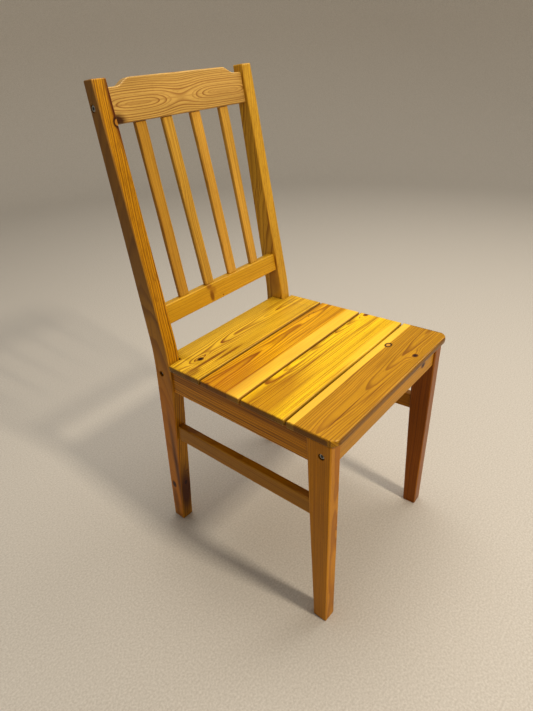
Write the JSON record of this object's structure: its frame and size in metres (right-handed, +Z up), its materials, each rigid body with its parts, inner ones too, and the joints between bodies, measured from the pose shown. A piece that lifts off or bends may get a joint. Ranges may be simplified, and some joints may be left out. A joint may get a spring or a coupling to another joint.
{
  "type": "dining chair",
  "caption": "Varnished pine dining chair with straight tapered front legs, bent rear legs, a slatted back with a stepped crest rail, and a flat boarded seat.",
  "frame": {"origin": "on the floor, at the middle of the chair's footprint in both directions", "axes": "+Z up, -Y towards the front of the chair, +X towards the right as seen from the front"},
  "size_m": [0.4124, 0.492, 0.9262],
  "materials": {
    "varnished_pine": "clear amber varnish, satin to gloss",
    "bare_pine": "sawn and planed, unfinished",
    "beech": "bare, turned",
    "zinc_plated_steel": "zinc plated",
    "turned_steel": "bright turned"
  },
  "bodies": {
    "root": {"left_front_leg": "varnished_pine", "right_front_leg": "varnished_pine", "left_rear_leg": "varnished_pine", "right_rear_leg": "varnished_pine", "left_side_rail": "varnished_pine", "right_side_rail": "varnished_pine", "left_stretcher": "varnished_pine", "right_stretcher": "varnished_pine", "crest_rail": "varnished_pine", "lower_back_rail": "varnished_pine", "slat_1": "varnished_pine", "slat_2": "varnished_pine", "slat_3": "varnished_pine", "slat_4": "varnished_pine", "front_rail": "varnished_pine", "rear_rail": "varnished_pine", "seat_board_1": "varnished_pine", "seat_board_2": "varnished_pine", "seat_board_3": "varnished_pine", "seat_board_4": "varnished_pine", "left_seat_batten": "bare_pine", "right_seat_batten": "bare_pine", "left_crest_bolt": "zinc_plated_steel", "left_crest_nut": "turned_steel", "left_front_bolt": "zinc_plated_steel", "left_front_nut": "turned_steel", "left_rear_bolt": "zinc_plated_steel", "left_rear_nut": "turned_steel", "left_crest_dowel": "beech", "left_front_rail_dowel": "beech", "left_rear_rail_dowel": "beech", "left_back_dowel_1": "beech", "left_back_dowel_2": "beech", "left_board_screw_1": "zinc_plated_steel", "left_board_screw_2": "zinc_plated_steel", "left_board_screw_3": "zinc_plated_steel", "left_board_screw_4": "zinc_plated_steel", "left_batten_screw_1": "zinc_plated_steel", "left_batten_screw_2": "zinc_plated_steel", "right_crest_bolt": "zinc_plated_steel", "right_crest_nut": "turned_steel", "right_front_bolt": "zinc_plated_steel", "right_front_nut": "turned_steel", "right_rear_bolt": "zinc_plated_steel", "right_rear_nut": "turned_steel", "right_crest_dowel": "beech", "right_front_rail_dowel": "beech", "right_rear_rail_dowel": "beech", "right_back_dowel_1": "beech", "right_back_dowel_2": "beech", "right_board_screw_1": "zinc_plated_steel", "right_board_screw_2": "zinc_plated_steel", "right_board_screw_3": "zinc_plated_steel", "right_board_screw_4": "zinc_plated_steel", "right_batten_screw_1": "zinc_plated_steel", "right_batten_screw_2": "zinc_plated_steel"}
  },
  "joints": []
}
